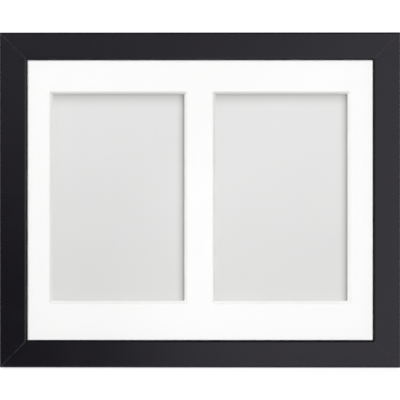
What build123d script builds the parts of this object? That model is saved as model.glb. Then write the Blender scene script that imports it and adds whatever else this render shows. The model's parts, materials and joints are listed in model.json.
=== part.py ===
from build123d import *
import math
import os

os.makedirs("parts", exist_ok=True)

# A two-window photo frame on an open easel strut. Millimetres and degrees.
# The pieces are drawn upright: front face at y = 0, back towards +y, lower edge at z = 0.
# At the end they all lean back together and stand on the table, z = 0.

# Mat windows and the mat that shows around them
window_width = 89.6
window_height = 140.2
window_bar = 21.1
side_border = 16.6
top_border = 22.9
bottom_border = 26.2
bevel_angle = 45

# Moulding of the four rails
rail_face = 18.2
rebate_width = 5
lip_thickness = 5
outer_arris = 1.2
sight_arris = 1.2
mitre_arris = 0.15

# Layers in the rebate, from the front to the back
glass_thickness = 2
mat_thickness = 1.9
print_thickness = 0.3
tape_thickness = 0.15
filler_thickness = 2.65
backing_thickness = 3
layer_clearance = 0.5

# Prints behind the windows, and the tapes that hang them on the mat
print_side_lap = 6
print_end_lap = 6.1
tape_width = 22
tape_lap = 8
tape_place_share = 0.27

# V-nails in the back of each mitre
nail_leg = 5
nail_sheet = 0.5
nail_drive = 8
nail_place_shares = (0.25, 0.62)

# Turn buttons and their screws
button_thickness = 1
button_radius = 4.5
button_tip_radius = 3
button_bite = 8
button_gap = 0.05
button_arris = 0.25
button_place_share = 0.25
screw_radius = 1.25
screw_depth = 9
screw_head_radius = 3.1
screw_head_height = 1.7
recess_width = 0.8
recess_length = 3.6
recess_depth = 0.9

# Sawtooth hanger and its nails
hanger_length = 44
hanger_height = 8
hanger_sheet = 0.8
hanger_rise = 2.2
hanger_foot = 8
hanger_ramp = 3
tooth_count = 9
tooth_depth = 1.6
hanger_nail_radius = 0.9
hanger_nail_head_radius = 1.9
hanger_nail_head_height = 0.7
hanger_nail_depth = 8

# Easel hinge: a base on the backing board, a leaf on the strut and a pin
lean_angle = 12
open_angle = 30
hinge_width = 34
centre_knuckle = 13
knuckle_gap = 0.3
pin_radius = 1.2
pin_head_radius = 2
pin_head_length = 0.9
base_sheet = 1
base_height = 25
base_corner = 4
leaf_sheet = 0.8
leaf_height = 30
leaf_corner = 4
tongue_width = 5
tongue_gap = 0.1
hinge_rivet_radius = 1.5
hinge_rivet_head_radius = 2.5
hinge_rivet_head_height = 0.9
hinge_rivet_tail_radius = 2.2
hinge_rivet_tail_height = 0.5
rivet_side_share = 0.3
rivet_row_shares = (0.4, 0.78)

# Strut
strut_length = 130
strut_thickness = 2.5
strut_top_width = 38
strut_foot_width = 66
strut_corner = 5
strut_arris = 0.4

# Fits and cuts
running_clearance = 0.05
fixing_clearance = 0.02
knuckle_clearance = 0.3
head_arris_share = 0.7
overrun = 2

# Sizes that follow from the ones above
sight_width = 2 * window_width + window_bar + 2 * side_border
sight_height = window_height + top_border + bottom_border
frame_width = sight_width + 2 * rail_face
frame_height = sight_height + 2 * rail_face
land_width = rail_face - rebate_width
glass_front = lip_thickness
mat_front = glass_front + glass_thickness
mat_back = mat_front + mat_thickness
print_back = mat_back + print_thickness
filler_front = print_back + tape_thickness
backing_front = filler_front + filler_thickness
rail_depth = backing_front + backing_thickness
window_centre_x = (window_width + window_bar) / 2
window_centre_z = rail_face + bottom_border + window_height / 2
print_width = window_width + 2 * print_side_lap
print_height = window_height + 2 * print_end_lap
button_front = rail_depth + button_gap
button_back = button_front + button_thickness
button_reach = land_width / 2 + layer_clearance + button_bite - button_tip_radius

# The bores of both hinge leaves are equal, and each leaf lies tangent to its knuckles.
knuckle_bore = pin_radius + running_clearance
base_knuckle_radius = knuckle_bore + base_sheet
leaf_knuckle_radius = knuckle_bore + leaf_sheet
pin_y = rail_depth + base_knuckle_radius
open_radians = math.radians(open_angle)
lean_radians = math.radians(lean_angle)
foot_drop = strut_length * math.cos(open_radians)
foot_reach = pin_y - rail_depth + strut_length * math.sin(open_radians)
pin_z = foot_drop + foot_reach * math.tan(lean_radians)

# Above the pin, the leaf's tongue meets the base when the strut has swung out to its open angle.
tongue_height = knuckle_bore / math.tan(open_radians / 2) - tongue_gap
tongue_slot_height = leaf_knuckle_radius + knuckle_clearance

# Places on the back of the rails: name, x, z and the turn that points a button inwards
button_x = frame_width * button_place_share
button_line = land_width / 2
button_places = (
    ("top_left", -button_x, frame_height - button_line, 180),
    ("top_right", button_x, frame_height - button_line, 180),
    ("bottom_left", -button_x, button_line, 0),
    ("bottom_right", button_x, button_line, 0),
    ("left", button_line - frame_width / 2, frame_height / 2, 90),
    ("right", frame_width / 2 - button_line, frame_height / 2, -90),
)
hanger_z = frame_height - land_width / 2
hanger_nail_x = (hanger_length - hanger_foot) / 2
tooth_pitch = (hanger_length - 2 * hanger_foot - 2 * hanger_ramp) / tooth_count


def block(x_low, x_high, y_low, y_high, z_low, z_high):
    middle = Pos((x_low + x_high) / 2, (y_low + y_high) / 2, (z_low + z_high) / 2)
    return middle * Box(x_high - x_low, y_high - y_low, z_high - z_low)


def rod(x, z, radius, y_low, y_high):
    # A round bar that runs from front to back
    return Pos(x, (y_low + y_high) / 2, z) * Rot(90, 0, 0) * Cylinder(radius, y_high - y_low)


def cross_rod(radius, x_low, x_high):
    # A round bar on the line of the hinge pin
    return Pos((x_low + x_high) / 2, pin_y, pin_z) * Rot(0, 90, 0) * Cylinder(radius, x_high - x_low)


def plate(outline, front, thickness):
    # A flat outline stood up in the plane of the frame, thickened towards the back
    standing = Plane(origin=(0, front, 0), x_dir=(1, 0, 0), z_dir=(0, -1, 0)) * outline
    return extrude(standing, amount=thickness, dir=(0, 1, 0))


def domed_head(x, z, radius, y_low, height):
    # A head whose rim is rounded over on its outer side
    head = rod(x, z, radius, y_low, y_low + height)
    rim = head.edges().group_by(Axis.Y)[-1]
    return fillet(rim, height * head_arris_share)


def swing(shape, angle):
    # Turns a piece about the hinge pin
    return Pos(0, pin_y, pin_z) * Rot(angle, 0, 0) * Pos(0, -pin_y, -pin_z) * shape


def mitred_bar(length):
    # The moulding as a lower rail, mitred at both ends, with its outer side down
    corners = (
        (0, 0),
        (rail_depth, 0),
        (rail_depth, land_width),
        (lip_thickness, land_width),
        (lip_thickness, rail_face),
        (0, rail_face),
    )
    section = make_face(Polyline(*corners, close=True))
    outer_corner = section.vertices().group_by(Axis.X)[0].sort_by(Axis.Y)[0]
    section = fillet(outer_corner, outer_arris)
    sight_corner = section.vertices().group_by(Axis.X)[0].sort_by(Axis.Y)[-1]
    section = fillet(sight_corner, sight_arris)
    stick = extrude(Plane.YZ.offset(-length / 2) * section, amount=length)
    tall = rail_face + overrun
    ends = Polyline(
        (-length / 2, 0),
        (length / 2, 0),
        (length / 2 - tall, tall),
        (tall - length / 2, tall),
        close=True,
    )
    bar = stick & plate(make_face(ends), -overrun, rail_depth + 2 * overrun)
    groove_side = mitre_arris * math.sqrt(2)
    groove = Rot(45, 0, 0) * Box(2 * tall * math.sqrt(2), groove_side, groove_side)
    for side in (-1, 1):
        bar -= Pos(side * length / 2, 0, 0) * Rot(0, side * 45, 0) * groove
    return bar


def corner_v_nails():
    # Two in each corner, each an angle of sheet with one leg in either rail
    outline = Polyline(
        (0, 0),
        (nail_leg, 0),
        (nail_leg, nail_sheet),
        (nail_sheet, nail_sheet),
        (nail_sheet, nail_leg),
        (0, nail_leg),
        close=True,
    )
    nail = plate(make_face(outline), rail_depth - nail_drive, nail_drive)
    corner_places = (
        (-frame_width / 2, 0, 0),
        (-frame_width / 2, frame_height, 90),
        (frame_width / 2, frame_height, 180),
        (frame_width / 2, 0, 270),
    )
    nails = []
    for x, z, turn in corner_places:
        for share in nail_place_shares:
            step = land_width * share
            nails.append(Pos(x, 0, z) * Rot(0, turn, 0) * Pos(step, 0, step) * nail)
    return nails


def rails(nails):
    # The four rails, with the V-nails' slots and the holes for screws and hanger nails
    sides = {
        "rail_bottom": mitred_bar(frame_width),
        "rail_top": Pos(0, 0, frame_height) * Rot(0, 180, 0) * mitred_bar(frame_width),
        "rail_left": Pos(-frame_width / 2, 0, frame_height / 2) * Rot(0, 90, 0) * mitred_bar(frame_height),
        "rail_right": Pos(frame_width / 2, 0, frame_height / 2) * Rot(0, -90, 0) * mitred_bar(frame_height),
    }
    holes = []
    for name, x, z, turn in button_places:
        hole_radius = screw_radius + fixing_clearance
        holes.append(rod(x, z, hole_radius, rail_depth - screw_depth, rail_depth + overrun))
    for side in (-1, 1):
        hole_radius = hanger_nail_radius + fixing_clearance
        x = side * hanger_nail_x
        holes.append(rod(x, hanger_z, hole_radius, rail_depth - hanger_nail_depth, rail_depth + overrun))
    return {name: rail - nails - holes for name, rail in sides.items()}


def rebate_sheet(front, thickness):
    # A layer that fills the rebate, clear of the rails all round
    inset = land_width + layer_clearance
    half_width = frame_width / 2 - inset
    return block(-half_width, half_width, front, front + thickness, inset, frame_height - inset)


def window_cut(x):
    # Widens towards the front, and measures the window's clear size at the mat's back
    def slice_at(y):
        spread = (mat_back - y) / math.tan(math.radians(bevel_angle))
        opening = Rectangle(window_width + 2 * spread, window_height + 2 * spread)
        standing = Plane(origin=(x, y, window_centre_z), x_dir=(1, 0, 0), z_dir=(0, -1, 0))
        return standing * opening

    return loft([slice_at(mat_front - overrun), slice_at(mat_back + overrun)], ruled=True)


def window_mat():
    mat = rebate_sheet(mat_front, mat_thickness)
    for side in (-1, 1):
        mat -= window_cut(side * window_centre_x)
    return mat


def photo_print(x):
    half_width = print_width / 2
    half_height = print_height / 2
    return block(
        x - half_width, x + half_width, mat_back, print_back,
        window_centre_z - half_height, window_centre_z + half_height,
    )


def print_tapes():
    # Two strips along the top of each print, from the mat's back over the print's edge
    top = window_centre_z + print_height / 2
    section = Polyline(
        (mat_back, top + tape_lap),
        (mat_back, top),
        (print_back, top),
        (print_back, top - tape_lap),
        (print_back + tape_thickness, top - tape_lap),
        (print_back + tape_thickness, top + tape_thickness),
        (mat_back + tape_thickness, top + tape_thickness),
        (mat_back + tape_thickness, top + tape_lap),
        close=True,
    )
    strip = extrude(Plane.YZ.offset(-tape_width / 2) * make_face(section), amount=tape_width)
    tapes = []
    for window_side in (-1, 1):
        for print_side in (-1, 1):
            x = window_side * window_centre_x + print_side * print_width * tape_place_share
            tapes.append(Pos(x, 0, 0) * strip)
    return tapes


def rivet_places(height):
    # Four rivets of a hinge leaf: across from the middle, and along from the pin
    places = []
    for side in (-1, 1):
        for share in rivet_row_shares:
            places.append((side * hinge_width * rivet_side_share, height * share))
    return places


def backing_board():
    board = rebate_sheet(backing_front, backing_thickness)
    for x, rise in rivet_places(base_height):
        hole_radius = hinge_rivet_radius + fixing_clearance
        board -= rod(x, pin_z + rise, hole_radius, backing_front - overrun, rail_depth + overrun)
    return board


def turn_button(x, z, turn):
    # A teardrop of sheet metal that points inwards over the backing board
    tip = Pos(0, button_reach) * Circle(button_tip_radius)
    outline = make_hull(Circle(button_radius).edges() + tip.edges())
    blade = plate(outline, button_front, button_thickness)
    blade = fillet(blade.edges().group_by(Axis.Y)[-1], button_arris)
    bore = rod(0, 0, screw_radius + running_clearance, button_front - overrun, button_back + overrun)
    return Pos(x, 0, z) * Rot(0, turn, 0) * (blade - bore)


def turn_button_screw(x, z, turn):
    # A pan head with a cross recess over the button, and a shank that ends in the rail
    head_under = button_back + button_gap
    head = domed_head(0, 0, screw_head_radius, head_under, screw_head_height)
    head_top = head_under + screw_head_height
    half_width = recess_width / 2
    half_length = recess_length / 2
    slot = block(
        -half_length, half_length, head_top - recess_depth, head_top + overrun, -half_width, half_width
    )
    head -= slot
    head -= Rot(0, 90, 0) * slot
    shank = rod(0, 0, screw_radius, rail_depth - screw_depth, head_under)
    return Pos(x, 0, z) * Rot(0, turn, 0) * (head + shank)


def sawtooth_hanger():
    # A bridge of sheet metal on two feet, with teeth along its lower edge
    foot_end = hanger_length / 2
    foot_start = foot_end - hanger_foot
    bridge_end = foot_start - hanger_ramp
    bridge_y = rail_depth + hanger_rise
    under_side = (
        (-foot_end, rail_depth),
        (-foot_start, rail_depth),
        (-bridge_end, bridge_y),
        (bridge_end, bridge_y),
        (foot_start, rail_depth),
        (foot_end, rail_depth),
    )
    over_side = tuple((x, y + hanger_sheet) for x, y in reversed(under_side))
    strip = make_face(Polyline(*under_side, *over_side, close=True))
    hanger_low = hanger_z - hanger_height / 2
    hanger = extrude(Plane.XY.offset(hanger_low) * strip, amount=hanger_height)
    notch = Polyline(
        (-tooth_pitch / 2, -overrun),
        (-tooth_pitch / 2, 0),
        (0, tooth_depth),
        (tooth_pitch / 2, 0),
        (tooth_pitch / 2, -overrun),
        close=True,
    )
    cut = plate(make_face(notch), bridge_y - overrun, hanger_sheet + 2 * overrun)
    for index in range(tooth_count):
        x = (index - (tooth_count - 1) / 2) * tooth_pitch
        hanger -= Pos(x, 0, hanger_low) * cut
    drill_end = rail_depth + hanger_sheet + overrun
    for side in (-1, 1):
        hole_radius = hanger_nail_radius + fixing_clearance
        hanger -= rod(side * hanger_nail_x, hanger_z, hole_radius, rail_depth - overrun, drill_end)
    return hanger


def hanger_nail(x):
    head_under = rail_depth + hanger_sheet
    head = domed_head(x, hanger_z, hanger_nail_head_radius, head_under, hanger_nail_head_height)
    return head + rod(x, hanger_z, hanger_nail_radius, rail_depth - hanger_nail_depth, head_under)


def hinge_base():
    # Flat on the backing board, with a knuckle at each side and room for the tongue between
    half_width = hinge_width / 2
    inner = centre_knuckle / 2 + knuckle_gap
    base_y = rail_depth
    base = block(-half_width, half_width, base_y, base_y + base_sheet, pin_z, pin_z + base_height)
    upper_corners = base.edges().filter_by(Axis.Y).group_by(Axis.Z)[-1]
    base = fillet(upper_corners, base_corner)
    base -= block(
        -inner, inner, base_y - overrun, base_y + base_sheet + overrun,
        pin_z - overrun, pin_z + tongue_slot_height,
    )
    for side in (-1, 1):
        x_low, x_high = sorted((side * inner, side * half_width))
        base += cross_rod(base_knuckle_radius, x_low, x_high)
    base -= cross_rod(knuckle_bore, -half_width - overrun, half_width + overrun)
    for x, rise in rivet_places(base_height):
        hole_radius = hinge_rivet_radius + fixing_clearance
        base -= rod(x, pin_z + rise, hole_radius, base_y - overrun, base_y + base_sheet + overrun)
    return base


def hinge_base_rivet(x, rise):
    # The head holds the base, and the shank ends flush with the front of the backing board
    head_under = rail_depth + base_sheet
    head = domed_head(x, pin_z + rise, hinge_rivet_head_radius, head_under, hinge_rivet_head_height)
    return head + rod(x, pin_z + rise, hinge_rivet_radius, backing_front, head_under)


def hinge_pin():
    half_length = hinge_width / 2 + knuckle_gap
    pin = cross_rod(pin_radius, -half_length, half_length)
    for side in (-1, 1):
        x_low, x_high = sorted((side * half_length, side * (half_length + pin_head_length)))
        pin += cross_rod(pin_head_radius, x_low, x_high)
    return pin


def hinge_leaf():
    # Drawn with the strut folded: the leaf hangs from its knuckle, the tongue stands above it
    leaf_y = pin_y + knuckle_bore
    half_width = hinge_width / 2
    half_knuckle = centre_knuckle / 2
    shoulder = pin_z - base_knuckle_radius - knuckle_clearance
    leaf = block(-half_width, half_width, leaf_y, leaf_y + leaf_sheet, pin_z - leaf_height, shoulder)
    lower_corners = leaf.edges().filter_by(Axis.Y).group_by(Axis.Z)[0]
    leaf = fillet(lower_corners, leaf_corner)
    leaf += block(-half_knuckle, half_knuckle, leaf_y, leaf_y + leaf_sheet, shoulder, pin_z)
    leaf += cross_rod(leaf_knuckle_radius, -half_knuckle, half_knuckle)
    half_tongue = tongue_width / 2
    tongue_top = pin_z + tongue_height
    leaf += block(-half_tongue, half_tongue, leaf_y, leaf_y + leaf_sheet, pin_z, tongue_top)
    leaf -= cross_rod(knuckle_bore, -half_knuckle - overrun, half_knuckle + overrun)
    for x, drop in rivet_places(leaf_height):
        hole_radius = hinge_rivet_radius + fixing_clearance
        leaf -= rod(x, pin_z - drop, hole_radius, leaf_y - overrun, leaf_y + leaf_sheet + overrun)
    return swing(leaf, open_angle)


def hinge_leaf_rivet(x, drop):
    # Through the leaf and the strut, with a flat tail on the strut's inner side
    strut_front = pin_y + knuckle_bore - strut_thickness
    head_under = pin_y + leaf_knuckle_radius
    z = pin_z - drop
    head = domed_head(x, z, hinge_rivet_head_radius, head_under, hinge_rivet_head_height)
    shank = rod(x, z, hinge_rivet_radius, strut_front, head_under)
    tail = rod(x, z, hinge_rivet_tail_radius, strut_front - hinge_rivet_tail_height, strut_front)
    return swing(head + shank + tail, open_angle)


def easel_strut():
    # A tapered board whose foot is cut flat by the table
    strut_front = pin_y + knuckle_bore - strut_thickness
    top = pin_z - base_knuckle_radius - knuckle_clearance
    foot = pin_z - strut_length - strut_thickness
    outline = Polyline(
        (-strut_top_width / 2, top),
        (strut_top_width / 2, top),
        (strut_foot_width / 2, foot),
        (-strut_foot_width / 2, foot),
        close=True,
    )
    board = plate(make_face(outline), strut_front, strut_thickness)
    upper_corners = board.edges().filter_by(Axis.Y).group_by(Axis.Z)[-1]
    board = fillet(upper_corners, strut_corner)
    faces_by_depth = board.edges().group_by(Axis.Y)
    board = fillet(faces_by_depth[0] + faces_by_depth[-1], strut_arris)
    drill_start = strut_front - overrun
    drill_end = strut_front + strut_thickness + overrun
    for x, drop in rivet_places(leaf_height):
        board -= rod(x, pin_z - drop, hinge_rivet_radius + fixing_clearance, drill_start, drill_end)
    board = swing(board, open_angle)
    below = block(
        -strut_foot_width, strut_foot_width, -strut_length, strut_length, -strut_length, 0
    )
    return board - Pos(0, rail_depth, 0) * Rot(lean_angle, 0, 0) * below


def build_pieces():
    nails = corner_v_nails()
    pieces = rails(nails)
    pieces["corner_v_nails"] = Compound(nails)
    pieces["glazing"] = rebate_sheet(glass_front, glass_thickness)
    pieces["window_mat"] = window_mat()
    pieces["print_left"] = photo_print(-window_centre_x)
    pieces["print_right"] = photo_print(window_centre_x)
    pieces["print_tapes"] = Compound(print_tapes())
    pieces["filler_card"] = rebate_sheet(filler_front, filler_thickness)
    pieces["backing_board"] = backing_board()
    screws = []
    for name, x, z, turn in button_places:
        pieces["turn_button_" + name] = turn_button(x, z, turn)
        screws.append(turn_button_screw(x, z, turn))
    pieces["turn_button_screws"] = Compound(screws)
    pieces["sawtooth_hanger"] = sawtooth_hanger()
    pieces["hanger_nails"] = Compound([hanger_nail(side * hanger_nail_x) for side in (-1, 1)])
    pieces["hinge_base"] = hinge_base()
    base_rivets = [hinge_base_rivet(x, rise) for x, rise in rivet_places(base_height)]
    pieces["hinge_base_rivets"] = Compound(base_rivets)
    pieces["hinge_pin"] = hinge_pin()
    pieces["hinge_leaf"] = hinge_leaf()
    leaf_rivets = [hinge_leaf_rivet(x, drop) for x, drop in rivet_places(leaf_height)]
    pieces["hinge_leaf_rivets"] = Compound(leaf_rivets)
    pieces["easel_strut"] = easel_strut()
    return pieces


# Lean everything back, then put the middle of the footprint at the origin, on the table.
leaning = {name: Rot(-lean_angle, 0, 0) * piece for name, piece in build_pieces().items()}
extent = Compound(list(leaning.values())).bounding_box()
footprint_shift = (-extent.center().X, -extent.center().Y, -extent.min.Z)
placed = {name: Pos(*footprint_shift) * piece for name, piece in leaning.items()}

for name, piece in placed.items():
    export_step(piece, "parts/" + name + ".step")
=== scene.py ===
import json
import math

import bmesh
import bpy
from mathutils import Matrix, Vector


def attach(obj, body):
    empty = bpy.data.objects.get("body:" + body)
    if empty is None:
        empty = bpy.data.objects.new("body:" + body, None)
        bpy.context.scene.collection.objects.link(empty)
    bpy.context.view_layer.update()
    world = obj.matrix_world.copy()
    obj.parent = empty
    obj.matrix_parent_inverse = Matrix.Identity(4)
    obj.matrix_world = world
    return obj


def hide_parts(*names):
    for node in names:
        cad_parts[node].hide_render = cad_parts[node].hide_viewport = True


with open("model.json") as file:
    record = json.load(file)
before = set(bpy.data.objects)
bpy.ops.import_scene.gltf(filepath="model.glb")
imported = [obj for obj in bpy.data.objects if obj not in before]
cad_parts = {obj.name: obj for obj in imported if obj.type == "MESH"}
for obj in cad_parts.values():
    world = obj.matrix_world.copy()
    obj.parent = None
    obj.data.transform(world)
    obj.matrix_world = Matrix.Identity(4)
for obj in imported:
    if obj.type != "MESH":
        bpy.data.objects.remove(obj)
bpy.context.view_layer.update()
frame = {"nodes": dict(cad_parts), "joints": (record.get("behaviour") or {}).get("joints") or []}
nodes = frame["nodes"]
joints = {joint["name"]: joint for joint in frame["joints"]}
scene = bpy.context.scene
scene.view_settings.view_transform = "Standard"
print("frame loaded,", len(nodes), "nodes")

# The frame leans back, and the strut leans the other way. Both angles come from the joints.
buttonAxis = joints["button_left_turn"]["axis"]
leanAngle = math.atan2(-buttonAxis[2], buttonAxis[1])
strutAngle = leanAngle + math.radians(joints["strut_fold"]["range_deg"][0])
leanBack = Matrix.Rotation(-leanAngle, 3, "X")
mm = 0.001
hair = 0.01 * mm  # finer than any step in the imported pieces


def ownPoints(name, angle=leanAngle):
    turn = Matrix.Rotation(angle, 3, "X")
    return [turn @ vertex.co for vertex in nodes[name].data.vertices]


def ownCorners(name, angle=leanAngle):
    points = ownPoints(name, angle)
    low = Vector([min(point[i] for point in points) for i in range(3)])
    high = Vector([max(point[i] for point in points) for i in range(3)])
    return low, high


def backPoints(name):
    # The points on the flat back of a piece
    points = ownPoints(name)
    furthest = max(point.y for point in points)
    return [point for point in points if point.y > furthest - hair]


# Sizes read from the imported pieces, in the frame's own upright axes
leftLow, leftHigh = ownCorners("rail_left")
rightLow, rightHigh = ownCorners("rail_right")
bottomLow, bottomHigh = ownCorners("rail_bottom")
topLow, topHigh = ownCorners("rail_top")
frameWidth = rightHigh.x - leftLow.x
frameHeight = topHigh.z - bottomLow.z
sightWidth = rightLow.x - leftHigh.x
sightHeight = topLow.z - bottomHigh.z
railDepth = leftHigh.y - leftLow.y
landWidth = max(point.x for point in backPoints("rail_left")) - leftLow.x
lipDepth = ownCorners("glazing")[0].y - leftLow.y
faceOwn = Vector(((leftLow.x + rightHigh.x) / 2, leftLow.y, (bottomLow.z + topHigh.z) / 2))
faceCentre = leanBack @ faceOwn
faceNormal = leanBack @ Vector((0, -1, 0))
frameUp = leanBack @ Vector((0, 0, 1))

# The windows where the mat's back ends, in millimetres from the middle of the face
matLow, matHigh = ownCorners("window_mat")
matBack = backPoints("window_mat")
windowSides = sorted({round(abs(point.x) / mm, 3) for point in matBack})[:2]
windowFoot, windowHead = sorted({round((point.z - faceOwn.z) / mm, 3) for point in matBack})[1:3]
windowMiddle = (windowSides[0] + windowSides[1]) / 2
windowHalf = (windowSides[1] - windowSides[0]) / 2
ownSizes = (frameWidth, frameHeight, sightWidth, sightHeight, railDepth)
print("own sizes in mm:", [round(size / mm, 2) for size in ownSizes])


# Node building

def addNode(tree, kind, feeds=None, **settings):
    node = tree.nodes.new("ShaderNode" + kind)
    for name, value in settings.items():
        setattr(node, name, value)
    for key, value in (feeds or {}).items():
        if isinstance(value, bpy.types.NodeSocket):
            tree.links.new(value, node.inputs[key])
        else:
            node.inputs[key].default_value = value
    return node


def calc(tree, operation, first, second=0.0, third=0.0, clamp=False):
    feeds = {0: first, 1: second, 2: third}
    return addNode(tree, "Math", feeds, operation=operation, use_clamp=clamp).outputs[0]


def times(tree, first, second):
    return calc(tree, "MULTIPLY", first, second)


def minus(tree, first, second):
    return calc(tree, "SUBTRACT", first, second)


def largest(tree, *masks):
    total = masks[0]
    for mask in masks[1:]:
        total = calc(tree, "MAXIMUM", total, mask)
    return total


def towards(tree, share, start, stop):
    # From start to stop as the share goes from 0 to 1
    return calc(tree, "MULTIPLY_ADD", share, minus(tree, stop, start), start)


def smoothStep(tree, value, start, stop, low=0.0, high=1.0):
    feeds = {"Value": value, "From Min": start, "From Max": stop, "To Min": low, "To Max": high}
    return addNode(tree, "MapRange", feeds, interpolation_type="SMOOTHSTEP").outputs["Result"]


def noise(tree, vector, size, detail=2.0, distortion=0.0, roughness=0.5):
    feeds = {"Vector": vector, "Scale": 1 / size, "Detail": detail, "Distortion": distortion,
             "Roughness": roughness}
    return addNode(tree, "TexNoise", feeds).outputs[0]


def axes(tree, vector):
    return list(addNode(tree, "SeparateXYZ", {0: vector}).outputs)


def joinAxes(tree, x, y, z):
    return addNode(tree, "CombineXYZ", {0: x, 1: y, 2: z}).outputs[0]


def mixColour(tree, factor, first, second, blend="MIX"):
    node = addNode(tree, "Mix", {"Factor": factor}, data_type="RGBA", blend_type=blend)
    for index, value in ((6, first), (7, second)):
        if isinstance(value, bpy.types.NodeSocket):
            tree.links.new(value, node.inputs[index])
        else:
            node.inputs[index].default_value = (*value, 1)
    return node.outputs[2]


def ownPlace(tree, angle=leanAngle, centre=faceOwn):
    # Millimetres in the upright axes of a piece that leans by this angle
    place = addNode(tree, "TexCoord").outputs["Object"]
    feeds = {"Vector": place, "Location": -centre / mm, "Rotation": (angle, 0, 0), "Scale": (1 / mm,) * 3}
    return addNode(tree, "Mapping", feeds, vector_type="POINT").outputs[0]


def windowAcross(tree, x):
    # How far a point lies to the right of the middle of its own window
    return minus(tree, x, times(tree, calc(tree, "SIGN", x), windowMiddle))


def sideInward(tree, x, z, width, height):
    # How far a point lies inwards from the sides, and from the foot or head, of a rectangle
    inX = minus(tree, width / 2 / mm, calc(tree, "ABSOLUTE", x))
    inZ = minus(tree, height / 2 / mm, calc(tree, "ABSOLUTE", z))
    return inX, inZ


def startMaterial(name):
    material = bpy.data.materials.new(name)
    material.use_nodes = True
    tree = material.node_tree
    tree.nodes.clear()
    output = addNode(tree, "OutputMaterial")
    return material, tree, output


def startGroup(name, inputs, outputs):
    tree = bpy.data.node_groups.new(name, "ShaderNodeTree")
    for label, kind, value in inputs:
        socket = tree.interface.new_socket(label, in_out="INPUT", socket_type="NodeSocket" + kind)
        socket.default_value = value
    for label in outputs:
        tree.interface.new_socket(label, in_out="OUTPUT", socket_type="NodeSocketFloat")
    return tree, tree.nodes.new("NodeGroupInput"), tree.nodes.new("NodeGroupOutput")


def useGroup(tree, group, feeds):
    return addNode(tree, "Group", feeds, node_tree=group)


# Camera: square to the face and close enough that the frame's width fills the picture
cameraSet = {"distance": 0.8, "sensor": 36.0, "width": 0.2689, "yaw": math.radians(0.25), "shift": 0.0003}


def addCamera(values):
    data = bpy.data.cameras.new("photoCamera")
    camera = bpy.data.objects.new("photoCamera", data)
    scene.collection.objects.link(camera)
    data.sensor_width = values["sensor"]
    data.lens = values["sensor"] * values["distance"] / values["width"]
    data.shift_x = values["shift"]
    back = Matrix.Rotation(values["yaw"], 3, frameUp) @ faceNormal
    turn = Matrix((frameUp.cross(back), frameUp, back)).transposed()
    camera.location = faceCentre + back * values["distance"]
    camera.rotation_euler = turn.to_euler()
    scene.camera = camera


addCamera(cameraSet)

# Floor: white to the camera and in reflections, and whiter with distance
floorSet = {"half": 40.0, "front": 0.35, "colour": (0.82, 0.82, 0.82), "shown": (0.68, 0.98),
            "far": (0.3, 2.2), "mirrored": (-0.1, 0.0)}


def floorGlow(tree, values, path, point, y):
    glossy = times(tree, path["Is Glossy Ray"], smoothStep(tree, y, *values["mirrored"]))
    seen = largest(tree, path["Is Camera Ray"], glossy, path["Is Transmission Ray"])
    away = addNode(tree, "VectorMath", {0: point}, operation="LENGTH").outputs["Value"]
    return times(tree, seen, smoothStep(tree, away, *values["far"], *values["shown"]))


def floorHidden(tree, values, path, y):
    # The front of the floor throws no light up, the far front is there for the camera alone, and nothing
    # of the floor shows from below
    looked = largest(tree, path["Is Camera Ray"], path["Is Transmission Ray"])
    forward = times(tree, calc(tree, "LESS_THAN", y, -values["front"]), minus(tree, 1.0, looked))
    bounced = times(tree, path["Is Diffuse Ray"], calc(tree, "LESS_THAN", y, 0.0))
    under = addNode(tree, "NewGeometry").outputs["Backfacing"]
    return largest(tree, forward, bounced, times(tree, under, looked))


def addFloor(values):
    mesh = bpy.data.meshes.new("studioFloor")
    floor = bpy.data.objects.new("studioFloor", mesh)
    scene.collection.objects.link(floor)
    work = bmesh.new()
    bmesh.ops.create_grid(work, x_segments=1, y_segments=1, size=values["half"])
    work.to_mesh(mesh)
    work.free()
    material, tree, output = startMaterial("studioFloor")
    path = addNode(tree, "LightPath").outputs
    point = addNode(tree, "TexCoord").outputs["Object"]
    y = axes(tree, point)[1]
    matte = addNode(tree, "BsdfDiffuse", {"Color": (*values["colour"], 1)})
    glow = floorGlow(tree, values, path, point, y)
    plain = addNode(tree, "Emission", {"Color": (1, 1, 1, 1), "Strength": glow})
    both = addNode(tree, "AddShader", {0: matte.outputs[0], 1: plain.outputs[0]})
    clear = addNode(tree, "BsdfTransparent")
    feeds = {0: floorHidden(tree, values, path, y), 1: both.outputs[0], 2: clear.outputs[0]}
    mix = addNode(tree, "MixShader", feeds)
    tree.links.new(mix.outputs[0], output.inputs["Surface"])
    mesh.materials.append(material)


addFloor(floorSet)

# World: faint even light, and the room that the finishes mirror
worldSet = {"ambient": 0.06, "dim": 0.055, "side": 1.0, "overhead": 0.47, "turnShare": 0.9,
            "turnLow": -0.045, "edge": 0.05, "glow": (-0.06, 0.14), "ceiling": (0.5, 0.22),
            "wing": (-0.35, -0.8), "wingLevel": 0.36, "behind": (0.1, -0.25)}


def mirroredRoom(tree, values, ahead, across, height):
    # Dim on the left, bright on the right and dark overhead, with a wing far left and white behind the frame
    edge = calc(tree, "MULTIPLY_ADD", largest(tree, height, 0.0), values["turnShare"], values["turnLow"])
    right = smoothStep(tree, minus(tree, across, edge), -values["edge"], values["edge"])
    glow = times(tree, smoothStep(tree, height, *values["glow"]), values["overhead"])
    left = calc(tree, "ADD", glow, values["dim"])
    level = towards(tree, right, left, values["side"])
    level = times(tree, level, smoothStep(tree, height, *values["ceiling"]))
    wing = smoothStep(tree, across, *values["wing"], high=values["wingLevel"])
    return largest(tree, level, wing, smoothStep(tree, ahead, *values["behind"]))


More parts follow.
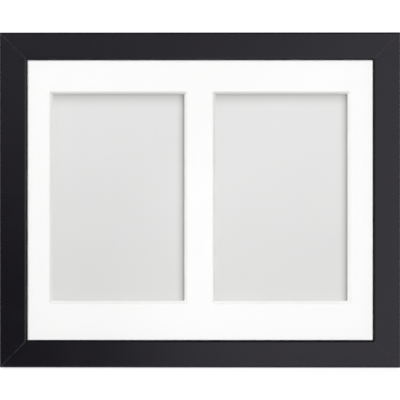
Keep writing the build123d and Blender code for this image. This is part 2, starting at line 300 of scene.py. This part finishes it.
def addWorld(values):
    world = bpy.data.worlds.new("studio")
    scene.world = world
    world.use_nodes = True
    tree = world.node_tree
    tree.nodes.clear()
    output = addNode(tree, "OutputWorld")
    path = addNode(tree, "LightPath").outputs
    direction = addNode(tree, "TexCoord").outputs["Generated"]

    def along(axis):
        feeds = {0: direction, 1: axis}
        return addNode(tree, "VectorMath", feeds, operation="DOT_PRODUCT").outputs["Value"]

    level = mirroredRoom(tree, values, along(faceNormal), along((1, 0, 0)), along(frameUp))
    level = largest(tree, level, path["Is Camera Ray"])
    seen = largest(tree, path["Is Camera Ray"], path["Is Glossy Ray"], path["Is Transmission Ray"])
    even = addNode(tree, "Background", {"Color": (1, 1, 1, 1), "Strength": values["ambient"]})
    room = addNode(tree, "Background", {"Color": (1, 1, 1, 1), "Strength": level})
    mix = addNode(tree, "MixShader", {0: seen, 1: even.outputs[0], 2: room.outputs[0]})
    tree.links.new(mix.outputs[0], output.inputs["Surface"])


addWorld(worldSet)

# Lamps: bearing and height in degrees from the front of the face. None shows in a reflection.
lampSet = {
    "frontKey": {"bearing": -5, "height": 16, "distance": 1.8, "size": 0.4, "watts": 33.7},
    "backLeft": {"bearing": 150, "height": 40, "distance": 1.6, "size": 0.7, "watts": 9.0},
    "backRight": {"bearing": 215, "height": 30, "distance": 1.6, "size": 0.7, "watts": 7.0},
}


def addLamp(name, lamp):
    data = bpy.data.lights.new(name, "AREA")
    data.size = lamp["size"]
    data.energy = lamp["watts"]
    holder = bpy.data.objects.new(name, data)
    scene.collection.objects.link(holder)
    bearing, height = math.radians(lamp["bearing"]), math.radians(lamp["height"])
    level = math.cos(height)
    away = Vector((math.sin(bearing) * level, -math.cos(bearing) * level, math.sin(height)))
    holder.location = faceCentre + away * lamp["distance"]
    holder.rotation_euler = (-away).to_track_quat("-Z", "Y").to_euler()
    holder.visible_camera = False
    holder.visible_glossy = False
    holder.visible_transmission = False


for name, lamp in lampSet.items():
    addLamp(name, lamp)
print("camera, floor and light placed")

# Effects that several finishes share. A noise is given as its size, detail, distortion and roughness.
streakSet = {"fine": (1.0, 3.0, 0.6), "broad": (5.5, 2.0, 1.2)}
toothSet = {"felt": (1.0, 3.0), "clumps": (6.0, 2.0), "clumpShare": 0.6, "turns": (0.5, 1.7, 2.6),
            "thread": (14.0, 1.1, 1.1), "threadNoise": (1.0, 1.0, 0.8), "threadEdge": (0.66, 0.74)}
handlingSet = {"cloud": (1.0, 4.0, 0.4, 0.62), "cloudEdge": (0.38, 0.7), "speckEdge": (0.06, 0.03),
               "bareCells": 0.5}
vectorInput = ("Vector", "Vector", (0, 0, 0))


def shrunk(tree, vector, size):
    return addNode(tree, "VectorMath", {0: vector, 1: size}, operation="DIVIDE").outputs[0]


def makeStreaks(values):
    # Lines that run along X: wood grain, fibres pressed into board, brushed metal
    inputs = (vectorInput, ("Length", "Float", 40.0), ("Width", "Float", 1.0))
    tree, taken, given = startGroup("streaks", inputs, ("Fine", "Broad"))
    width = taken.outputs["Width"]
    place = shrunk(tree, taken.outputs["Vector"], joinAxes(tree, taken.outputs["Length"], width, width))
    tree.links.new(noise(tree, place, *values["fine"]), given.inputs["Fine"])
    tree.links.new(noise(tree, place, *values["broad"]), given.inputs["Broad"])
    return tree


def makePaperTooth(values):
    # The felt surface of paper and board, with a few longer fibres
    tree, taken, given = startGroup("paperTooth", (vectorInput, ("Size", "Float", 0.4)), ("Height", "Fibres"))
    size = taken.outputs["Size"]
    place = shrunk(tree, taken.outputs["Vector"], joinAxes(tree, size, size, size))
    clumps, felt = noise(tree, place, *values["clumps"]), noise(tree, place, *values["felt"])
    height = calc(tree, "MULTIPLY_ADD", clumps, values["clumpShare"], felt)
    threads = []
    for turn in values["turns"]:
        feeds = {"Vector": place, "Rotation": (0, turn, 0), "Scale": values["thread"]}
        laid = addNode(tree, "Mapping", feeds, vector_type="TEXTURE").outputs[0]
        threads.append(smoothStep(tree, noise(tree, laid, *values["threadNoise"]), *values["threadEdge"]))
    tree.links.new(height, given.inputs["Height"])
    tree.links.new(largest(tree, *threads), given.inputs["Fibres"])
    return tree


def makeHandling(values):
    # What handling and storage leave: soft smudges and a thin scatter of dust
    inputs = (vectorInput, ("Size", "Float", 20.0), ("Spacing", "Float", 4.0))
    tree, taken, given = startGroup("handling", inputs, ("Smudge", "Dust"))
    vector, size, spacing = (taken.outputs[name] for name in ("Vector", "Size", "Spacing"))
    cloud = noise(tree, shrunk(tree, vector, joinAxes(tree, size, size, size)), *values["cloud"])
    tree.links.new(smoothStep(tree, cloud, *values["cloudEdge"]), given.inputs["Smudge"])
    spread = shrunk(tree, vector, joinAxes(tree, spacing, spacing, spacing))
    cells = addNode(tree, "TexVoronoi", {"Vector": spread, "Scale": 1.0}, feature="F1")
    speck = smoothStep(tree, cells.outputs["Distance"], *values["speckEdge"])
    kept = calc(tree, "GREATER_THAN", axes(tree, cells.outputs["Color"])[0], values["bareCells"])
    tree.links.new(times(tree, speck, kept), given.inputs["Dust"])
    return tree


streaks, paperTooth, handling = makeStreaks(streakSet), makePaperTooth(toothSet), makeHandling(handlingSet)
print("shared effects built")
made = {}


def handled(tree, place, values):
    # Smudges and dust at a finish's own size and spacing
    size, spacing = values["marks"]
    marks = useGroup(tree, handling, {"Vector": place, "Size": size, "Spacing": spacing})
    return marks.outputs["Smudge"], marks.outputs["Dust"]


def toothed(tree, place, size):
    tooth = useGroup(tree, paperTooth, {"Vector": place, "Size": size})
    return tooth.outputs["Height"], tooth.outputs["Fibres"]


def principled(tree, colour, rough, height, extra=None):
    # The height is in millimetres
    normal = addNode(tree, "Bump", {"Strength": 1.0, "Distance": mm, "Height": height}).outputs["Normal"]
    feeds = {"Base Color": colour, "Roughness": rough, "Normal": normal, **(extra or {})}
    return addNode(tree, "BsdfPrincipled", feeds)


def finish(name, material, tree, output, shader):
    tree.links.new(shader.outputs[0], output.inputs["Surface"])
    made[name] = material
    print("finish", name)


# Satin black lacquer on the moulding, thinner in places, with a pale hairline at the mitre and rubbed spots
# along both arrises. The wall of the lip is matt.
lacquerSet = {"black": (0.0034, 0.0029, 0.0046), "thin": (0.0048, 0.0041, 0.0058), "thinSize": 9.0,
              "joint": (0.047, 0.045, 0.049), "jointEdge": (0.3, 0.13), "jointBreaks": (0.3, 0.55),
              "worn": (0.045, 0.035, 0.028), "wornShare": 0.25, "wornBreaks": (0.56, 0.7),
              "outerArris": (1.0, 0.72), "sightArris": (1.0, 0.74), "brokenSize": 2.4,
              "dust": (0.3, 0.27, 0.24), "dustShare": 0.03, "marks": (26.0, 5.0),
              "roughness": 0.185, "smudged": 0.03, "rubbed": 0.08, "sheen": (0.93, 0.90, 1.0, 1),
              "wallRoughness": 1.0, "wallInward": (-0.3, -0.1), "wallDepth": (0.35, 0.8),
              "peelSize": 1.3, "peelDepth": 0.0014, "waveSize": 14.0, "waveDepth": 0.006,
              "ghostDepth": 0.0035}
# Bare wood in the rebate and on the back, where the spray reaches only the outer border
woodSet = {"pale": (0.60, 0.43, 0.26), "dark": (0.40, 0.25, 0.13), "grainLength": 55.0, "grainWidth": 0.8,
           "rings": (0.35, 0.65), "ringShare": 0.6, "pores": (0.56, 0.72), "poreShare": 0.45,
           "grainDepth": 0.03, "roughness": 0.72, "overspray": 2.6, "speckleSize": 0.35, "speckle": 1.2,
           "sprayEdge": (0.0, 0.8), "backSlack": 0.04, "rebateSlack": 0.05}


def lacquerColour(tree, values, place, inX, inZ, y, broken, dust):
    face = (frameWidth - sightWidth) / 2 / mm
    inward = calc(tree, "MINIMUM", inX, inZ)
    offMitre = times(tree, calc(tree, "ABSOLUTE", minus(tree, inX, inZ)), math.sqrt(0.5))
    colour = mixColour(tree, noise(tree, place, values["thinSize"], 3.0), values["black"], values["thin"])
    joint = smoothStep(tree, offMitre, *values["jointEdge"])
    joint = times(tree, joint, smoothStep(tree, broken, *values["jointBreaks"]))
    colour = mixColour(tree, joint, colour, values["joint"])
    fromSight = minus(tree, face, inward)
    outerArris = smoothStep(tree, calc(tree, "ADD", inward, y), *values["outerArris"])
    sightArris = smoothStep(tree, calc(tree, "ADD", fromSight, y), *values["sightArris"])
    rubbed = largest(tree, outerArris, sightArris)
    rubbed = times(tree, rubbed, smoothStep(tree, broken, *values["wornBreaks"]))
    colour = mixColour(tree, times(tree, rubbed, values["wornShare"]), colour, values["worn"])
    colour = mixColour(tree, times(tree, dust, values["dustShare"]), colour, values["dust"])
    wall = smoothStep(tree, inward, *(face + inset for inset in values["wallInward"]))
    wall = times(tree, wall, smoothStep(tree, y, *values["wallDepth"]))
    return colour, rubbed, wall, inward


def woodColour(tree, values, grain):
    rings = smoothStep(tree, grain.outputs["Broad"], *values["rings"])
    pores = smoothStep(tree, grain.outputs["Fine"], *values["pores"])
    wood = mixColour(tree, times(tree, rings, values["ringShare"]), values["pale"], values["dark"])
    return mixColour(tree, times(tree, pores, values["poreShare"]), wood, values["dark"])


def bareWood(tree, values, place, inward, y, broken):
    back = calc(tree, "GREATER_THAN", y, railDepth / mm - values["backSlack"])
    speckle = noise(tree, place, values["speckleSize"], 2.0)
    spray = calc(tree, "MULTIPLY_ADD", speckle, values["speckle"], inward)
    spray = minus(tree, spray, times(tree, broken, values["overspray"]))
    behindLand = calc(tree, "GREATER_THAN", inward, landWidth / mm - values["rebateSlack"])
    behindLip = calc(tree, "GREATER_THAN", y, lipDepth / mm + values["rebateSlack"])
    unsprayed = times(tree, back, smoothStep(tree, spray, *values["sprayEdge"]))
    return largest(tree, unsprayed, times(tree, behindLand, behindLip))


def addLacquer(values, bareValues, name, upright):
    material, tree, output = startMaterial(name)
    place = ownPlace(tree)
    x, y, z = axes(tree, place)
    inX, inZ = sideInward(tree, x, z, frameWidth, frameHeight)
    broken = noise(tree, place, values["brokenSize"], 3.0)
    smudge, dust = handled(tree, place, values)
    colour, rubbed, wall, inward = lacquerColour(tree, values, place, inX, inZ, y, broken, dust)
    # The grain runs along the rail, and its ghost shows through the lacquer
    laid = joinAxes(tree, z, y, x) if upright else joinAxes(tree, x, y, z)
    feeds = {"Vector": laid, "Length": bareValues["grainLength"], "Width": bareValues["grainWidth"]}
    grain = useGroup(tree, streaks, feeds)
    bare = bareWood(tree, bareValues, place, inward, y, broken)
    colour = mixColour(tree, bare, colour, woodColour(tree, bareValues, grain))
    smooth = calc(tree, "MULTIPLY_ADD", smudge, values["smudged"], values["roughness"])
    smooth = calc(tree, "MULTIPLY_ADD", rubbed, values["rubbed"], smooth)
    smooth = towards(tree, wall, smooth, values["wallRoughness"])
    rough = towards(tree, bare, smooth, bareValues["roughness"])
    peel = times(tree, noise(tree, place, values["peelSize"], 2.0), values["peelDepth"])
    wave = noise(tree, place, values["waveSize"], 1.0)
    coat = calc(tree, "MULTIPLY_ADD", wave, values["waveDepth"], peel)
    coat = calc(tree, "MULTIPLY_ADD", grain.outputs["Fine"], values["ghostDepth"], coat)
    height = towards(tree, bare, coat, times(tree, grain.outputs["Fine"], bareValues["grainDepth"]))
    shader = principled(tree, colour, rough, height, {"Specular Tint": values["sheen"]})
    finish(name, material, tree, output, shader)


addLacquer(lacquerSet, woodSet, "lacquerAcross", False)
addLacquer(lacquerSet, woodSet, "lacquerUpright", True)

# Clear picture glass with a low-reflection coating, and a trace of smudging that only its reflections show
glassSet = {"tint": (0.996, 0.998, 0.996, 1), "index": 1.38, "smudge": 0.025, "marks": (45.0, 6.0)}


def addGlass(values):
    material, tree, output = startMaterial("pictureGlass")
    smudge = handled(tree, ownPlace(tree), values)[0]
    feeds = {"Base Color": values["tint"], "Roughness": times(tree, smudge, values["smudge"]),
             "IOR": values["index"], "Transmission Weight": 1.0}
    shader = addNode(tree, "BsdfPrincipled", feeds)
    path = addNode(tree, "LightPath").outputs
    unseen = largest(tree, path["Is Shadow Ray"], path["Is Diffuse Ray"])
    clear = addNode(tree, "BsdfTransparent", {"Color": (1, 1, 1, 1)})
    mix = addNode(tree, "MixShader", {0: unseen, 1: shader.outputs[0], 2: clear.outputs[0]})
    finish("pictureGlass", material, tree, output, mix)


addGlass(glassSet)

# White mat board, smooth paper on a paler core that shows at the bevels
matSet = {"paper": (0.935, 0.934, 0.931), "greyer": (0.925, 0.924, 0.921), "greyerSize": 30.0,
          "core": (0.985, 0.982, 0.968), "layer": (0.95, 0.94, 0.915), "plies": (0.45, 0.62),
          "tooth": 0.38, "fibreShare": 0.25, "depth": 0.018, "roughness": 0.8, "cutEdge": (0.03, 0.09),
          "cutDepth": 0.02, "knife": (0.04, 9.0, 0.04), "paintedTopShade": 0.36, "paintedSideShade": 0.08,
          "shadeEdge": 0.1}


def paintedBevelShade(tree, values, x, y, z, front):
    # Painted shade: the bevels over and left of each window darken softly towards the print, as if lit from
    # above and the left
    edge = values["shadeEdge"]
    over = times(tree, smoothStep(tree, z, windowHead - edge, windowHead), values["paintedTopShade"])
    beside = smoothStep(tree, windowAcross(tree, x), edge - windowHalf, -windowHalf)
    beside = times(tree, beside, values["paintedSideShade"])
    thickness = (matHigh.y - matLow.y) / mm
    down = calc(tree, "DIVIDE", minus(tree, y, front), thickness, clamp=True)
    return times(tree, down, largest(tree, over, beside))


def addMatBoard(values):
    material, tree, output = startMaterial("matBoard")
    place = ownPlace(tree)
    x, y, z = axes(tree, place)
    tooth, fibres = toothed(tree, place, values["tooth"])
    front = (matLow.y - faceOwn.y) / mm
    cut = smoothStep(tree, y, *(front + edge for edge in values["cutEdge"]))
    # The knife leaves fine lines along each bevel, and the board's plies show between them
    lines = addNode(tree, "Mapping", {"Vector": place, "Scale": values["knife"]}).outputs[0]
    lines = noise(tree, lines, 1.0, 3.0)
    paper = mixColour(tree, noise(tree, place, values["greyerSize"], 3.0), values["paper"], values["greyer"])
    paper = mixColour(tree, times(tree, fibres, values["fibreShare"]), paper, values["core"])
    core = mixColour(tree, smoothStep(tree, lines, *values["plies"]), values["core"], values["layer"])
    # Painted shade on the top and left bevels of each window
    core = mixColour(tree, paintedBevelShade(tree, values, x, y, z, front), core, (0.0, 0.0, 0.0))
    colour = mixColour(tree, cut, paper, core)
    flat = times(tree, tooth, values["depth"])
    height = calc(tree, "MULTIPLY_ADD", times(tree, lines, cut), values["cutDepth"], flat)
    shader = principled(tree, colour, values["roughness"], height)
    finish("matBoard", material, tree, output, shader)


addMatBoard(matSet)

# Blank print paper: plain grey, with painted shade: soft painted shadows along each window's edges, where the
# mat's edge would shade it. Each painted shade is given as its reach in millimetres and how much it takes at
# the edge.
printSet = {"grey": (0.745, 0.745, 0.742), "greyer": (0.73, 0.73, 0.728), "greyerSize": 40.0,
            "paintedShades": (("top", 10.0, 0.4), ("top", 1.5, 0.24), ("right", 6.5, 0.52), ("right", 2.6, 0.43),
                       ("left", 8.0, 0.045), ("bottom", 2.5, 0.07)),
            "paintedFall": 0.06, "paintedFallFrom": 0.1, "paintedShadeWarm": (1.02, 1.01, 0.97), "tooth": 0.16, "depth": 0.003,
            "roughness": 0.4, "toothRoughness": 0.12}


def paintedPrintShade(tree, values, x, z):
    # How much of the paper's grey is left under the painted shadows along the window edges and the painted
    # darkening towards the bottom
    across = windowAcross(tree, x)
    inwards = {"top": minus(tree, windowHead, z), "bottom": minus(tree, z, windowFoot),
               "right": minus(tree, windowHalf, across), "left": calc(tree, "ADD", windowHalf, across)}
    start = windowFoot * values["paintedFallFrom"] + windowHead * (1 - values["paintedFallFrom"])
    # Painted shade: the paper darkens towards the bottom of each window, standing in for how the light falls
    light = smoothStep(tree, z, start, windowFoot, 1.0, 1 - values["paintedFall"])
    # Painted shadows along each window edge, standing in for the shade that the mat's edge casts on the print
    for side, reach, most in values["paintedShades"]:
        near = calc(tree, "SUBTRACT", 1.0, calc(tree, "DIVIDE", inwards[side], reach), clamp=True)
        light = times(tree, light, minus(tree, 1.0, times(tree, times(tree, near, near), most)))
    return light


def addPrintPaper(values):
    material, tree, output = startMaterial("printPaper")
    place = ownPlace(tree)
    x, y, z = axes(tree, place)
    tooth = toothed(tree, place, values["tooth"])[0]
    plain = mixColour(tree, noise(tree, place, values["greyerSize"], 2.0), values["grey"], values["greyer"])
    light = paintedPrintShade(tree, values, x, z)
    tint = mixColour(tree, light, (0.0, 0.0, 0.0), (1.0, 1.0, 1.0))
    # The painted shade turns slightly warm where it is deepest
    paintedShadeWarm = mixColour(tree, minus(tree, 1.0, light), (1.0, 1.0, 1.0), values["paintedShadeWarm"])
    colour = mixColour(tree, 1.0, mixColour(tree, 1.0, plain, tint, "MULTIPLY"), paintedShadeWarm, "MULTIPLY")
    rough = calc(tree, "MULTIPLY_ADD", tooth, values["toothRoughness"], values["roughness"])
    shader = principled(tree, colour, rough, times(tree, tooth, values["depth"]))
    finish("printPaper", material, tree, output, shader)


addPrintPaper(printSet)

# Inside the frame: gummed paper tape and grey filler card
boardSets = {
    "gummedTape": {"light": (0.88, 0.85, 0.77), "dark": (0.80, 0.76, 0.66), "fibre": (0.93, 0.91, 0.85),
                   "cloudSize": 7.0, "fibreShare": 0.6, "tooth": 0.5, "depth": 0.02, "roughness": 0.7},
    "fillerCard": {"light": (0.47, 0.44, 0.40), "dark": (0.38, 0.355, 0.32), "fibre": (0.60, 0.57, 0.52),
                   "cloudSize": 7.0, "fibreShare": 0.6, "tooth": 0.6, "depth": 0.03, "roughness": 0.85},
}


def addPaperBoard(name, values):
    material, tree, output = startMaterial(name)
    place = ownPlace(tree)
    tooth, fibres = toothed(tree, place, values["tooth"])
    colour = mixColour(tree, noise(tree, place, values["cloudSize"], 4.0), values["light"], values["dark"])
    colour = mixColour(tree, times(tree, fibres, values["fibreShare"]), colour, values["fibre"])
    shader = principled(tree, colour, values["roughness"], times(tree, tooth, values["depth"]))
    finish(name, material, tree, output, shader)


for name, values in boardSets.items():
    addPaperBoard(name, values)

# Hardboard back: pressed brown fibre, smooth side out, paler and rougher where it is sawn
hardboardSet = {"brown": (0.225, 0.128, 0.066), "deep": (0.155, 0.085, 0.043), "fibre": (0.40, 0.27, 0.16),
                "chip": (0.07, 0.038, 0.022), "grains": (1.1, 3.0), "grainShare": 0.45,
                "clouds": (22.0, 4.0), "cloudShare": 0.55, "cloudEdge": (0.36, 0.64), "tooth": 0.5,
                "fibreShare": 0.4, "fineTooth": 0.45, "fineShare": 0.35, "chipSize": 0.9,
                "chipEdge": (0.67, 0.73), "chipShare": 0.7, "ragged": -0.5, "sawnEdge": (0.3, 0.0),
                "sawnShare": 0.75, "marks": (34.0, 3.0), "roughness": 0.42, "toothRoughness": 0.14,
                "toothStart": 0.1, "smudged": 0.1, "sawnRoughness": 0.85, "depth": 0.012}


def addHardboard(values):
    material, tree, output = startMaterial("hardboard")
    place = ownPlace(tree)
    x, y, z = axes(tree, place)
    tooth, fibres = toothed(tree, place, values["tooth"])
    fineFibres = toothed(tree, place, values["tooth"] * values["fineTooth"])[1]
    smudge = handled(tree, place, values)[0]
    clouds = times(tree, noise(tree, place, *values["clouds"]), values["cloudShare"])
    clouds = calc(tree, "MULTIPLY_ADD", noise(tree, place, *values["grains"]), values["grainShare"], clouds)
    colour = mixColour(tree, smoothStep(tree, clouds, *values["cloudEdge"]), values["brown"], values["deep"])
    colour = mixColour(tree, times(tree, fibres, values["fibreShare"]), colour, values["fibre"])
    colour = mixColour(tree, times(tree, fineFibres, values["fineShare"]), colour, values["fibre"])
    chips = smoothStep(tree, noise(tree, place, values["chipSize"], 1.0), *values["chipEdge"])
    colour = mixColour(tree, times(tree, chips, values["chipShare"]), colour, values["chip"])
    # Sawn edges
    low, high = ownCorners("backing_board")
    inX, inZ = sideInward(tree, x, z, high.x - low.x, high.z - low.z)
    inward = calc(tree, "MULTIPLY_ADD", tooth, values["ragged"], calc(tree, "MINIMUM", inX, inZ))
    sawn = smoothStep(tree, inward, *values["sawnEdge"])
    colour = mixColour(tree, times(tree, sawn, values["sawnShare"]), colour, values["fibre"])
    start = values["roughness"] - values["toothStart"]
    rough = calc(tree, "MULTIPLY_ADD", tooth, values["toothRoughness"], start)
    rough = calc(tree, "MULTIPLY_ADD", smudge, values["smudged"], rough)
    rough = calc(tree, "MULTIPLY_ADD", sawn, values["sawnRoughness"] - values["roughness"], rough)
    height = times(tree, minus(tree, tooth, chips), values["depth"])
    finish("hardboard", material, tree, output, principled(tree, colour, rough, height))


addHardboard(hardboardSet)

# Strut: black embossed paper on both faces of a fibre board whose brown edges are stained dark
strutSet = {"black": (0.015, 0.015, 0.017), "grey": (0.040, 0.040, 0.042), "pebble": 0.85,
            "pebbleEdge": (0.0, 0.28), "pebbleDepth": 0.08, "irregular": 0.9, "warpSize": 3.0,
            "warpShare": 0.3, "edge": (0.10, 0.062, 0.038), "edgeDark": (0.035, 0.026, 0.02),
            "plyLength": 6.0, "plyWidth": 0.25, "faceSkin": 0.28, "skinEdge": 0.1,
            "dust": (0.3, 0.28, 0.25), "dustShare": 0.12, "marks": (18.0, 2.5), "roughness": 0.42,
            "smudged": 0.08, "edgeRougher": 0.35}


def addStrutBoard(values):
    material, tree, output = startMaterial("strutBoard")
    low, high = ownCorners("easel_strut", strutAngle)
    place = ownPlace(tree, strutAngle, (low + high) / 2)
    x, y, z = axes(tree, place)
    feeds = {"Vector": place, "Scale": 1 / values["pebble"], "Randomness": values["irregular"]}
    cells = addNode(tree, "TexVoronoi", feeds, feature="DISTANCE_TO_EDGE")
    pebble = smoothStep(tree, cells.outputs["Distance"], *values["pebbleEdge"])
    smudge, dust = handled(tree, place, values)
    face = mixColour(tree, pebble, values["black"], values["grey"])
    face = mixColour(tree, times(tree, dust, values["dustShare"]), face, values["dust"])
    # Between the two papers, the board's plies show at its edges
    skin = (high.y - low.y) / 2 / mm - values["faceSkin"]
    inside = smoothStep(tree, calc(tree, "ABSOLUTE", y), skin + values["skinEdge"], skin)
    feeds = {"Vector": joinAxes(tree, z, y, x), "Length": values["plyLength"], "Width": values["plyWidth"]}
    plies = useGroup(tree, streaks, feeds).outputs["Fine"]
    edge = mixColour(tree, plies, values["edge"], values["edgeDark"])
    colour = mixColour(tree, inside, face, edge)
    rough = calc(tree, "MULTIPLY_ADD", smudge, values["smudged"], values["roughness"])
    rough = calc(tree, "MULTIPLY_ADD", inside, values["edgeRougher"], rough)
    embossed = times(tree, pebble, minus(tree, 1.0, inside))
    height = calc(tree, "MULTIPLY_ADD", plies, inside, embossed)
    warp = noise(tree, place, values["warpSize"], 2.0)
    height = calc(tree, "MULTIPLY_ADD", warp, values["warpShare"], height)
    height = times(tree, height, values["pebbleDepth"])
    finish("strutBoard", material, tree, output, principled(tree, colour, rough, height))


addStrutBoard(strutSet)

# Zinc plate: brushed sheet for the fittings, smoother and tumbled for the screws, rivets, nails and pin
zincSet = {"bright": (0.55, 0.55, 0.545), "dull": (0.44, 0.445, 0.45), "length": 12.0, "width": 0.16,
           "brushShare": 0.65, "blotches": (0.7, 3.0), "blotchShare": 0.35, "lineEdge": (0.38, 0.62),
           "tintSize": 16.0, "straw": (0.53, 0.505, 0.445), "strawEdge": (0.5, 0.75), "strawShare": 0.35,
           "blue": (0.44, 0.475, 0.51), "blueEdge": (0.5, 0.28), "blueShare": 0.3,
           "spotted": (0.25, 0.245, 0.235), "spotShare": 0.5, "marks": (9.0, 1.6), "smudged": 0.12,
           "dentSize": 0.5}
zincKinds = {
    "zincSheet": {"angle": leanAngle, "roughness": 0.32, "brushed": 0.2, "depth": 0.006},
    "zincLeaf": {"angle": strutAngle, "roughness": 0.32, "brushed": 0.2, "depth": 0.006},
    "zincHeads": {"angle": leanAngle, "roughness": 0.26, "brushed": 0.1, "depth": 0.0015},
}


def addZinc(name, values, kind):
    material, tree, output = startMaterial(name)
    place = ownPlace(tree, kind["angle"])
    feeds = {"Vector": place, "Length": values["length"], "Width": values["width"]}
    brush = useGroup(tree, streaks, feeds).outputs["Fine"]
    smudge, dust = handled(tree, place, values)
    # Brushed lines carry most of the change in tone, over a faint straw and blue tint
    lines = times(tree, brush, values["brushShare"])
    blotches = noise(tree, place, *values["blotches"])
    lines = calc(tree, "MULTIPLY_ADD", blotches, values["blotchShare"], lines)
    colour = mixColour(tree, smoothStep(tree, lines, *values["lineEdge"]), values["bright"], values["dull"])
    tint = noise(tree, place, values["tintSize"], 2.0)
    for metal in ("straw", "blue"):
        share = smoothStep(tree, tint, *values[metal + "Edge"], high=values[metal + "Share"])
        colour = mixColour(tree, share, colour, values[metal])
    colour = mixColour(tree, times(tree, dust, values["spotShare"]), colour, values["spotted"])
    start = kind["roughness"] - kind["brushed"] / 2
    rough = calc(tree, "MULTIPLY_ADD", brush, kind["brushed"], start)
    rough = calc(tree, "MULTIPLY_ADD", smudge, values["smudged"], rough)
    dents = noise(tree, place, values["dentSize"], 2.0)
    height = times(tree, calc(tree, "ADD", brush, dents), kind["depth"])
    finish(name, material, tree, output, principled(tree, colour, rough, height, {"Metallic": 1.0}))


for name, kind in zincKinds.items():
    addZinc(name, zincSet, kind)

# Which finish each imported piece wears. The rest of the fittings are zinc sheet.
wardrobe = {
    "lacquerAcross": ("rail_top", "rail_bottom"),
    "lacquerUpright": ("rail_left", "rail_right"),
    "pictureGlass": ("glazing",),
    "matBoard": ("window_mat",),
    "printPaper": ("print_left", "print_right"),
    "gummedTape": ("print_tapes",),
    "fillerCard": ("filler_card",),
    "hardboard": ("backing_board",),
    "strutBoard": ("easel_strut",),
    "zincLeaf": ("hinge_leaf", "hinge_leaf_rivets"),
    "zincHeads": ("turn_button_screws", "hanger_nails", "hinge_base_rivets", "hinge_pin", "corner_v_nails"),
}
finishOf = {node: name for name, worn in wardrobe.items() for node in worn}
for node in nodes:
    materials = nodes[node].data.materials
    materials.clear()
    materials.append(made[finishOf.get(node, "zincSheet")])
print("pieces dressed")

# Picture glass: a pane with ground arrises, a hair thinner than its space so that it doesn't lie in the mat
paneSet = {"slack": 0.08 * mm, "arris": 0.35 * mm}


def addPane(values):
    low, high = ownCorners("glazing")
    size = high - low - Vector((0, 2 * values["slack"], 0))
    work = bmesh.new()
    bmesh.ops.create_cube(work, size=1.0)
    bmesh.ops.scale(work, vec=size, verts=work.verts)
    bmesh.ops.bevel(work, geom=work.edges[:], offset=values["arris"], affect="EDGES", segments=2,
                    profile=0.5, material=-1)
    bmesh.ops.translate(work, vec=(low + high) / 2, verts=work.verts)
    bmesh.ops.rotate(work, matrix=leanBack, verts=work.verts)
    mesh = bpy.data.meshes.new("picture_glass")
    work.to_mesh(mesh)
    work.free()
    mesh.materials.append(made["pictureGlass"])
    pane = bpy.data.objects.new("picture_glass", mesh)
    scene.collection.objects.link(pane)
    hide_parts("glazing")
    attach(pane, "frame")


addPane(paneSet)
print("pane placed")
